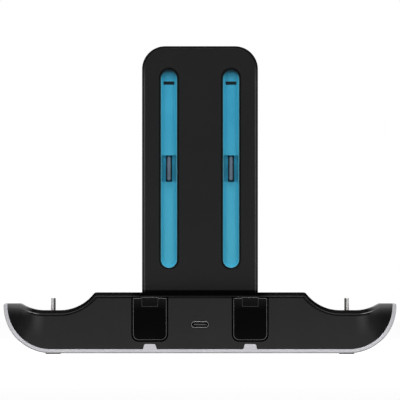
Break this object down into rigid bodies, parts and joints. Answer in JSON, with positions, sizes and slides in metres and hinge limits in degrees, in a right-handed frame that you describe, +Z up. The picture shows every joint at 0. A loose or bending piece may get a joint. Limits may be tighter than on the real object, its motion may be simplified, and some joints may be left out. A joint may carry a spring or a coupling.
{
  "type": "controller charging dock",
  "caption": "Charging dock: low base with a cradle and upright plug at each end, white tray below, power inlet in front, and a flat tower with blue rails for small controllers.",
  "frame": {"origin": "on the table, under the middle of the base", "axes": "+X to the right as seen from the power inlet, +Y from the inlet side to the plain back, +Z up the tower"},
  "size_m": [0.199, 0.072, 0.1561],
  "materials": {
    "black_plastic": "fine satin grain",
    "cover_black": "smooth, half gloss",
    "white_plastic": "satin, cool white",
    "blue_plastic": "satin",
    "grey_plastic": "satin",
    "dark_plastic": "plain",
    "plug_steel": "bright, drawn",
    "screw_steel": "plated",
    "contact_brass": "plated",
    "magnet_steel": "plated",
    "board_green": "lacquered",
    "ribbon_grey": "plain",
    "foot_rubber": "matt"
  },
  "bodies": {
    "root": {"base_housing": "black_plastic", "tower_front_shell": "black_plastic", "tower_rear_shell": "black_plastic", "left_access_cover": "cover_black", "right_access_cover": "cover_black", "base_tray": "white_plastic", "left_rail_insert": "blue_plastic", "right_rail_insert": "blue_plastic", "left_rail_connector": "grey_plastic", "right_rail_connector": "grey_plastic", "left_plug_core": "dark_plastic", "right_plug_core": "dark_plastic", "left_plug_riser": "dark_plastic", "right_plug_riser": "dark_plastic", "power_socket_tongue": "dark_plastic", "rail_header": "dark_plastic", "board_parts": "dark_plastic", "left_plug_shell": "plug_steel", "right_plug_shell": "plug_steel", "power_socket_shell": "plug_steel", "tower_screws": "screw_steel", "base_screws": "screw_steel", "board_screws": "screw_steel", "rail_board_screws": "screw_steel", "left_rail_contacts": "contact_brass", "right_rail_contacts": "contact_brass", "left_rail_magnets": "magnet_steel", "right_rail_magnets": "magnet_steel", "main_board": "board_green", "rail_board": "board_green", "tower_ribbon": "ribbon_grey", "front_left_foot": "foot_rubber", "front_right_foot": "foot_rubber", "rear_left_foot": "foot_rubber", "rear_right_foot": "foot_rubber"}
  },
  "joints": []
}
